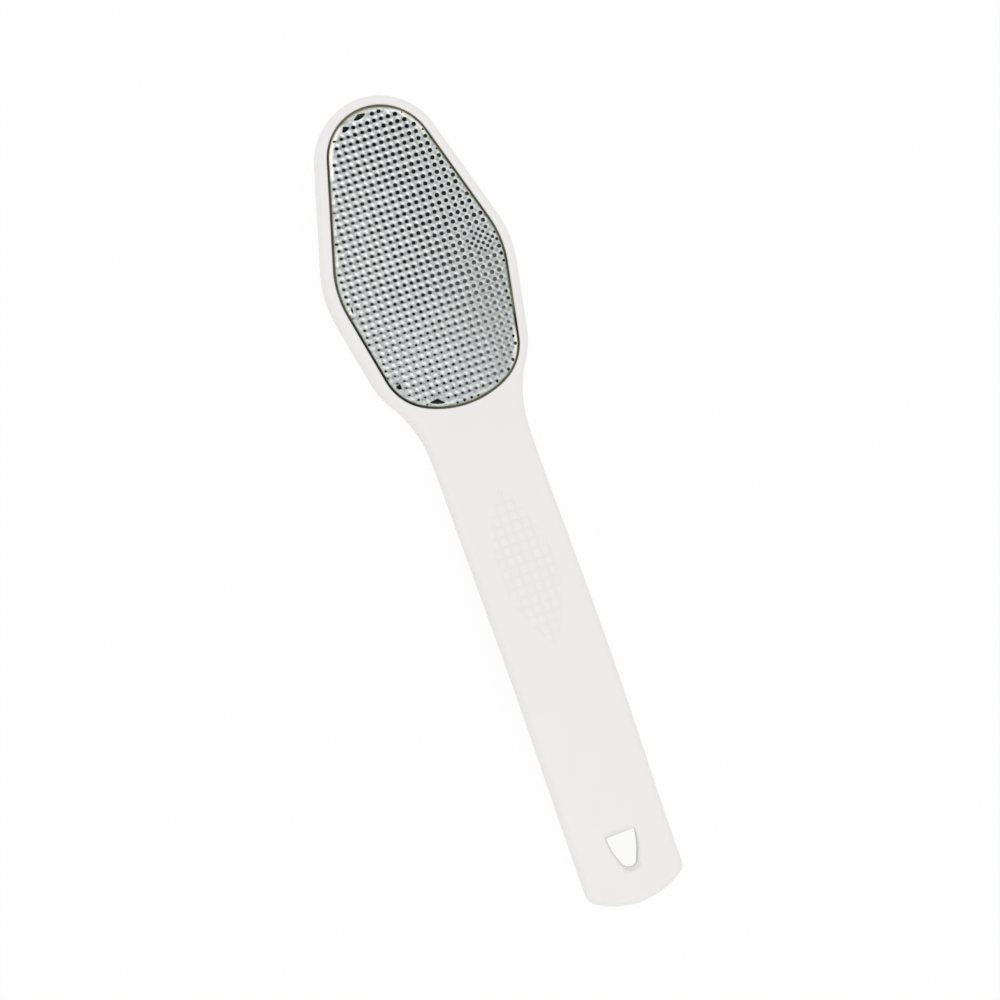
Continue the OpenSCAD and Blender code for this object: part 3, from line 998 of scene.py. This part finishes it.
def build_rasp(name):
    draw = random.Random(SEED)
    edge = pocket(SHEET_GAP)
    places, missed = tooth_places(edge, draw)
    teeth = [draw_tooth(place, draw) for place in places]
    torn = [torn_ring(t, draw) for t in TORN]
    points, faces = sheet_solid(edge, teeth, torn)
    mesh = new_mesh(points, faces)
    teeth += [draw_tooth(place, draw) for place in missed]
    for key, values in sheet_tones(points, teeth, edge).items():
        add_layer(mesh, key, values)
    made = new_object(name, tidy(mesh))
    shade(made, RASP_SHARP)
    return made


rasp = build_rasp("rasp_sheet")

# Emery: a sheet with rounded edges and the slight relief of its grit
EMERY_ROUND = 0.22
EMERY_STEPS = 4
GRIT_STEP = 0.95
GRIT_SCATTER = 0.35
GRIT_INSET = 0.6 * GRIT_STEP
GRIT_DEPTH = 0.05
GRIT_EDGE = 0.02
GRIT_GAP = 1e-6


def build_emery(name):
    draw = random.Random(SEED + 1)
    outline = pocket(EMERY_GAP + EMERY_ROUND)
    low = outline.min(axis=0)
    high = outline.max(axis=0)
    grains = []
    for gy in np.arange(low[1], high[1], GRIT_STEP):
        for gx in np.arange(low[0], high[0], GRIT_STEP):
            off = [draw.uniform(-GRIT_SCATTER, GRIT_SCATTER) for _ in range(2)]
            grains.append((gx + off[0], gy + off[1]))
    grains = np.array(grains)
    grains = grains[inset_of(grains, outline) > GRIT_INSET]
    flat = np.vstack((outline, grains))
    n = len(outline)
    edges = [(i, (i + 1) % n) for i in range(n)]
    z = np.array([GRIT_EDGE] * n + [draw.uniform(0, GRIT_DEPTH) for _ in grains])
    points = [np.column_stack((flat, z))]
    faces = [ids[::-1] for ids in triangulate(flat, edges, GRIT_GAP)]
    profile = round_rings(EMERY_GAP, EMERY_ROUND, EMERY_STEPS)[-2::-1]
    last = range(n)
    count = len(flat)
    for inset, height, _ in profile + [(EMERY_GAP, EMERY_T, 1)]:
        points.append(np.column_stack((pocket(inset), np.full(n, height))))
        ring = range(count, count + n)
        faces += band(last, ring)
        last = ring
        count += n
    faces.append(list(last))
    made = new_object(name, tidy(new_mesh(np.vstack(points), faces)))
    shade(made, EMERY_SHARP)
    return made


emery = build_emery("emery_abrasive")


# Colours: a pair is mixed by noise
PLASTIC = ((0.862, 0.843, 0.83), (0.848, 0.832, 0.82))
PLASTIC_WORN = (0.872, 0.855, 0.842)
# Painted shade for the plastic's hollows and creases
PLASTIC_HOLLOW_SHADE = (0.74, 0.73, 0.7)
# The gap round a sheet: an olive glue tint mixed with painted shade, and near-black painted shadow
GLUE_AND_GAP_SHADE = ((0.015, 0.015, 0.013), (0.15, 0.15, 0.07))
GAP_SHADOW_BLACK = (0.006, 0.007, 0.005)
GLUE_TIP = (0.36, 0.33, 0.13)
GLUE_OLIVE = (0.3, 0.31, 0.13)
STEEL = ((0.46, 0.5, 0.497), (0.52, 0.555, 0.55))
STEEL_DARK = (0.3, 0.325, 0.32)
STEEL_PALE = (0.66, 0.7, 0.69)
# Painted shade of the steel in the rows of bores
STEEL_PAINTED_SHADE = (0.15, 0.17, 0.165)
# Painted highlight of the steel on its teeth
STEEL_PAINTED_HIGHLIGHT = (0.84, 0.86, 0.85)
# Painted shade of the steel in its hollows
STEEL_HOLLOW_SHADE = (0.2, 0.225, 0.22)
# The steel rim's paler tone and its painted highlights
STEEL_RIM_TONE_AND_HIGHLIGHT = (0.97, 0.96, 0.89)
FOAM = ((0.006, 0.007, 0.007), (0.015, 0.016, 0.016))
FOAM_DUST = (0.3, 0.31, 0.29)
EMERY = ((0.012, 0.012, 0.013), (0.075, 0.072, 0.072))
EMERY_GLINT = (0.26, 0.26, 0.27)
EMERY_WORN = (0.06, 0.057, 0.055)
TAPE = ((0.58, 0.52, 0.38), (0.66, 0.61, 0.48))
WHITE = (1.0, 1.0, 1.0)

# Where the gap's glue and painted shadow, and the foam, have another colour: spans along axis 0, 1
# or 2, in millimetres, that are multiplied, each with where it starts and is full, and its least
# and most share
GAP_GLUE_AND_SHADOW_PATCHES = (
    (((1, 100.0, 111.0, 0.0, 0.6), (2, 10.1, 10.8)), GLUE_TIP),
    (((0, -4.0, -14.0), (1, 66.0, 54.0)), GAP_SHADOW_BLACK),
    (((0, 14.0, 19.0), (1, 35.0, 38.0), (1, 48.5, 45.5, 0.0, 0.95)), GAP_SHADOW_BLACK),
    (((0, 14.0, 19.0), (1, 46.5, 49.5), (1, 55.5, 52.5, 0.0, 0.7)), GLUE_OLIVE),
)
FOAM_PATCHES = (
    (((0, -6.0, -20.0, 0.05, 0.3), (1, 46.0, 54.0), (1, 106.0, 101.0)), FOAM_DUST),
    (((0, -4.0, 14.0), (1, 78.0, 46.0)), FOAM_DUST),
)


class Nodes:
    """The node tree of a material or world, with helpers that add nodes to it."""

    def __init__(self, owner):
        owner.use_nodes = True
        self.nodes = owner.node_tree.nodes
        self.links = owner.node_tree.links

    def put(self, socket, value):
        """Links a socket to another one, or sets its value or colour."""
        if isinstance(value, bpy.types.NodeSocket):
            self.links.new(value, socket)
        elif socket.type == "RGBA" and len(value) == 3:
            socket.default_value = (*value, 1.0)
        else:
            socket.default_value = value

    def add(self, kind, inputs=None, **settings):
        """Adds a node and gives its outputs."""
        made = self.nodes.new("ShaderNode" + kind)
        for key, value in settings.items():
            setattr(made, key, value)
        for key, value in (inputs or {}).items():
            self.put(made.inputs[key], value)
        return made.outputs

    def math(self, operation, a, b):
        return self.add("Math", {0: a, 1: b}, operation=operation)[0]

    def clear_rays(self):
        """1 for what the camera sees, also in gloss and through glass, and else 0."""
        path = self.add("LightPath")
        value = path["Is Camera Ray"]
        for name in ("Is Glossy Ray", "Is Transmission Ray"):
            value = self.math("MAXIMUM", value, path[name])
        return value

    def close(self, kind, share, a, b):
        """Ends the tree in a mix of two shaders."""
        both = self.add("MixShader", {0: share, 1: a, 2: b})[0]
        self.add("Output" + kind, {"Surface": both})


class Finish(Nodes):
    """A new material with its principled shader."""

    def __init__(self, name):
        self.material = bpy.data.materials.new(name)
        super().__init__(self.material)
        self.main = next(n for n in self.nodes if n.type == "BSDF_PRINCIPLED")
        self.coords = self.add("TexCoord")["Object"]

    def noise(self, scale, detail=3.0, rough=0.55, stretch=None):
        at = self.coords
        if stretch:
            at = self.add("Mapping", {"Vector": at, "Scale": stretch})[0]
        inputs = {"Vector": at, "Scale": scale, "Detail": detail, "Roughness": rough}
        return self.add("TexNoise", inputs)[0]

    def cells(self, scale):
        return self.add("TexVoronoi", {"Vector": self.coords, "Scale": scale})[0]

    def span(self, value, low, high, out_low=0.0, out_high=1.0):
        inputs = {0: value, 1: low, 2: high, 3: out_low, 4: out_high}
        return self.add("MapRange", inputs, clamp=True)[0]

    def edge(self, low, high):
        """A share by how far the shape stands out, which is 0.5 where it is flat."""
        return self.span(self.add("NewGeometry")["Pointiness"], low, high)

    def layer(self, name):
        return self.add("Attribute", attribute_name=name)["Fac"]

    def mix(self, share, a, b):
        """Mixes two colours, which are inputs 6 and 7 and output 2 of the node."""
        return self.add("Mix", {0: share, 6: a, 7: b}, data_type="RGBA")[2]

    def patches(self, base, rows):
        place = self.add("SeparateXYZ", {0: self.coords})
        for spans, colour in rows:
            share = 1.0
            for axis, low, high, *out in spans:
                one = self.span(place[axis], low * MM, high * MM, *out)
                share = self.math("MULTIPLY", share, one)
            base = self.mix(share, base, colour)
        return base

    def bump(self, height, strength, distance, below=None):
        inputs = {"Height": height, "Strength": strength, "Distance": distance}
        if below is not None:
            inputs["Normal"] = below
        return self.add("Bump", inputs)[0]

    def set_to(self, **values):
        for key, value in values.items():
            self.put(self.main.inputs[key.replace("_", " ")], value)
        return self.material


def plastic_material():
    """Satin white plastic, a little worn on its edges, with painted shade in hollows, and glue and
    painted shade in the pockets.
    """
    t = Finish("satin_white_plastic")
    base = t.mix(t.span(t.noise(28.0, 2.0), 0.35, 0.65), *PLASTIC)
    base = t.mix(t.edge(0.5, 0.56), base, PLASTIC_WORN)
    # Painted shade in hollows
    base = t.mix(t.edge(0.485, 0.42), base, PLASTIC_HOLLOW_SHADE)
    glue_and_shade = t.mix(t.span(t.noise(45.0, 2.0), 0.4, 0.6), *GLUE_AND_GAP_SHADE)
    # Glue and painted shade round the sheets, and painted shade in the hang hole and the grip
    base = t.mix(t.layer("glue_and_painted_shade"), base, t.patches(glue_and_shade, GAP_GLUE_AND_SHADOW_PATCHES))
    rough = t.span(t.noise(420.0, 2.0), 0.3, 0.7, 0.36, 0.46)
    grain = t.bump(t.noise(2600.0, 2.0), 0.25, 0.00004)
    grain = t.bump(t.noise(300.0, 2.0), 0.15, 0.00006, grain)
    return t.set_to(Base_Color=base, Roughness=rough, Normal=grain, Specular_IOR_Level=0.4)


def steel_material():
    """Stamped steel with painted highlights on its teeth, painted shade between them and in
    hollows, and a pale rim.
    """
    t = Finish("stamped_steel")
    lines = t.noise(900.0, 4.0, 0.6, (1.0, 0.06, 1.0))
    spots = t.noise(1500.0, 3.0)
    base = t.mix(t.span(t.noise(90.0, 3.0), 0.3, 0.7), *STEEL)
    base = t.mix(t.span(spots, 0.5, 0.7), base, STEEL_DARK)
    base = t.mix(t.span(spots, 0.5, 0.34), base, STEEL_PALE)
    # Painted shade between the bores
    base = t.mix(t.span(t.layer("painted_shade"), 0.0, 1.0, 0.0, 0.92), base, STEEL_PAINTED_SHADE)
    # Painted highlights and glints on the teeth
    base = t.mix(t.layer("painted_highlight"), base, STEEL_PAINTED_HIGHLIGHT)
    # Painted shade in hollows
    base = t.mix(t.edge(0.49, 0.44), base, STEEL_HOLLOW_SHADE)
    blotch = t.span(t.noise(160.0, 2.0), 0.3, 0.55, 0.5, 1.0)
    # The rim's paler tone and painted highlights
    base = t.mix(t.math("MULTIPLY", t.layer("rim"), blotch), base, STEEL_RIM_TONE_AND_HIGHLIGHT)
    rough = t.span(lines, 0.3, 0.7, 0.3, 0.42)
    fine = t.bump(lines, 0.2, 0.00002)
    fine = t.bump(t.noise(700.0, 3.0), 0.2, 0.00005, fine)
    return t.set_to(Base_Color=base, Metallic=1.0, Roughness=rough, Normal=fine)


def foam_material():
    """Matt black foam, dusty towards the low right and along the left."""
    t = Finish("black_foam")
    cells = t.cells(2600.0)
    base = t.mix(t.span(t.noise(500.0), 0.3, 0.7), *FOAM)
    base = t.patches(base, FOAM_PATCHES)
    rough = t.span(cells, 0.0, 0.6, 0.8, 0.95)
    pits = t.bump(cells, 0.5, 0.0001)
    return t.set_to(Base_Color=base, Roughness=rough, Normal=pits, Specular_IOR_Level=0.12)


def emery_material():
    """Dark grey grit with pale glints, worn smoother in the middle."""
    t = Finish("emery_grit")
    base = t.mix(t.span(t.noise(3000.0, 4.0, 0.7), 0.35, 0.65), *EMERY)
    glint = t.span(t.noise(4200.0, 2.0), 0.66, 0.72)
    base = t.mix(glint, base, EMERY_GLINT)
    base = t.mix(t.span(t.noise(60.0, 3.0), 0.5, 0.75), base, EMERY_WORN)
    rough = t.span(glint, 0.0, 1.0, 0.92, 0.45)
    rise = t.bump(t.cells(3600.0), 0.9, 0.00014)
    rise = t.bump(t.noise(1500.0, 4.0, 0.7), 0.5, 0.0001, rise)
    return t.set_to(Base_Color=base, Roughness=rough, Normal=rise)


def tape_material():
    """Pale double-sided tape with paper fibres."""
    t = Finish("mounting_tape")
    fibre = t.noise(700.0, 4.0, 0.6, (1.0, 0.2, 1.0))
    base = t.mix(t.span(fibre, 0.3, 0.7), *TAPE)
    rough = t.span(fibre, 0.3, 0.7, 0.65, 0.8)
    return t.set_to(Base_Color=base, Roughness=rough, Normal=t.bump(fibre, 0.3, 0.00005))


# Glue and painted shade round a sheet: depth, run, and lift of the shade in the low left, fading
# in across and down
GLUE_AND_SHADE_DEPTH = 0.3
GLUE_AND_SHADE_RUN = 0.4
GAP_SHADOW_LIFT = 0.26
POCKET_SLACK = 0.02
SEAT_SLACK = 0.05
CORNER_ACROSS = (-4.0, -10.0)
CORNER_DOWN = (66.0, -12.0)
# Painted shade in the hang hole, the share taken off at its right, and painted shade in the grip
HOLE_PAINTED_SHADE = 0.15
HOLE_SHADE_CUT_RIGHT = 0.8
HOLE_RIGHT = (1.5, 2.5)
HOLE_SLACK = 0.1
GRIP_PAINTED_SHADE = 0.03


def mark_glue_and_painted_shade(obj, side, seat):
    """Marks glue and painted shade round the sheet, and faint painted shade in the hang hole and
    the grip.
    """
    mesh = obj.data
    co = np.empty(len(mesh.vertices) * 3)
    mesh.vertices.foreach_get("co", co)
    x, y, z = co.reshape(-1, 3).T / MM
    xy = np.column_stack((x, y))
    inside = inset_of(xy, pocket(-POCKET_SLACK)) > 0
    depth = side * (HEAD_MID_Z + side * HEAD_T / 2 - z)
    # In the low left the painted shadow reaches higher up the pocket's edge
    corner = fade(x, *CORNER_ACROSS) * fade(y, *CORNER_DOWN)
    filled = smooth_step((depth - GLUE_AND_SHADE_DEPTH + GAP_SHADOW_LIFT * corner) / GLUE_AND_SHADE_RUN)
    share = np.where(inside & (depth < seat + SEAT_SLACK), filled, 0.0)
    # Painted shade in the hang hole, less of it on the right
    hole_shade_weight = 1 - HOLE_SHADE_CUT_RIGHT * fade(x, *HOLE_RIGHT)
    in_hole = inset_of(xy, hole_outline(HOLE_SLACK)) / HOLE_STEP * 2
    share += HOLE_PAINTED_SHADE * hole_shade_weight * smooth_step(in_hole)
    # Painted shade in the sunk grip field
    if side > 0:
        sunk = np.clip(-grip_relief(x, y) / GRIP_SINK, 0, 1)
        share += GRIP_PAINTED_SHADE * (z > mid_z(y)) * sunk
    add_layer(mesh, "glue_and_painted_shade", share)


def dress(obj, material):
    obj.data.materials.clear()
    obj.data.materials.append(material)


mark_glue_and_painted_shade(front_body, 1, RASP_SEAT)
mark_glue_and_painted_shade(back_body, -1, EMERY_SEAT)
plastic = plastic_material()
PIECES = (
    (front_body, "front_shell", plastic, "shell_plastic"),
    (back_body, "back_shell", plastic, "shell_plastic"),
    (rasp, "rasp_plate", steel_material(), "rasp_steel"),
    (emery, "emery_sheet", emery_material(), "emery"),
)
for piece, node, material, slot in PIECES:
    dress(piece, material)
    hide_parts(node)
    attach(piece, "root")
dress(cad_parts["rasp_backing"], foam_material())
dress(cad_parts["emery_backing"], tape_material())

# Camera: the photograph's, from above the file with its head turned up and to the left
CAMERA_AT = (-93.965, 16.807, 580.643)
CAMERA_TO = (1.025, 0.633, 0.0)
CAMERA_UP = 19.83
LENS = 77.42
SENSOR = 36.0


def look(place, target, up):
    """A turn and place that look from place to target."""
    back = (Vector(place) - Vector(target)).normalized()
    right = Vector(up).cross(back).normalized()
    over = back.cross(right)
    turn = Matrix((right, over, back)).transposed().to_4x4()
    return Matrix.Translation(Vector(place) * MM) @ turn


camera = new_object("camera", bpy.data.cameras.new("camera"))
camera.data.sensor_width = SENSOR
camera.data.lens = LENS
camera.data.clip_start = 0.01
camera.data.clip_end = 20.0
camera.matrix_world = look(CAMERA_AT, CAMERA_TO, (sind(CAMERA_UP), cosd(CAMERA_UP), 0.0))
scene.camera = camera


# Floor, lamps and world
FLOOR_HALF = 4000.0
FLOOR_Z = -0.02
FLOOR_GLOW = 0.93
FLOOR_COLOUR = (0.93, 0.93, 0.93)
WORLD_LEVEL = 0.86


def build_floor():
    """A pale floor that takes the shadow, and is near white to the camera and in gloss."""
    points = [(x, y, FLOOR_Z) for x, y in rectangle(FLOOR_HALF, FLOOR_HALF)]
    floor = new_object("floor", new_mesh(points, [[0, 1, 2, 3]]))
    material = bpy.data.materials.new("floor")
    t = Nodes(material)
    t.nodes.clear()
    share = t.math("MULTIPLY", t.clear_rays(), FLOOR_GLOW)
    lit = t.add("BsdfDiffuse", {"Color": FLOOR_COLOUR})[0]
    glow = t.add("Emission", {"Color": WHITE, "Strength": 1.0})[0]
    t.close("Material", share, lit, glow)
    floor.data.materials.append(material)


def build_world():
    """A plain even light, which is white to the camera and in gloss."""
    world = bpy.data.worlds.new("studio")
    scene.world = world
    t = Nodes(world)
    t.nodes.clear()
    level = t.add("Background", {"Color": WHITE, "Strength": WORLD_LEVEL})[0]
    white = t.add("Background", {"Color": WHITE, "Strength": 1.0})[0]
    t.close("World", t.clear_rays(), level, white)


# Soft boxes: direction round the file, height over it, distance, width, height and watts
LAMPS = (
    ("lamp_up", 62.0, 42.0, 800.0, 420.0, 320.0, 0.4),
    ("lamp_left", 160.0, 30.0, 800.0, 420.0, 200.0, 0.35),
    ("lamp_low", -90.0, 50.0, 600.0, 420.0, 320.0, 0.3),
)
LAMP_TARGET = (0.0, 20.0, 6.0)


def build_lamps():
    for name, turn, rise, away, wide, tall, watts in LAMPS:
        data = bpy.data.lights.new(name, "AREA")
        data.shape = "RECTANGLE"
        data.size = wide * MM
        data.size_y = tall * MM
        data.energy = watts
        lamp = new_object(name, data)
        off = Vector((cosd(turn) * cosd(rise), sind(turn) * cosd(rise), sind(rise))) * away
        lamp.matrix_world = look(Vector(LAMP_TARGET) + off, LAMP_TARGET, (0.0, 0.0, 1.0))


build_floor()
build_world()
build_lamps()
scene.view_settings.view_transform = "Standard"
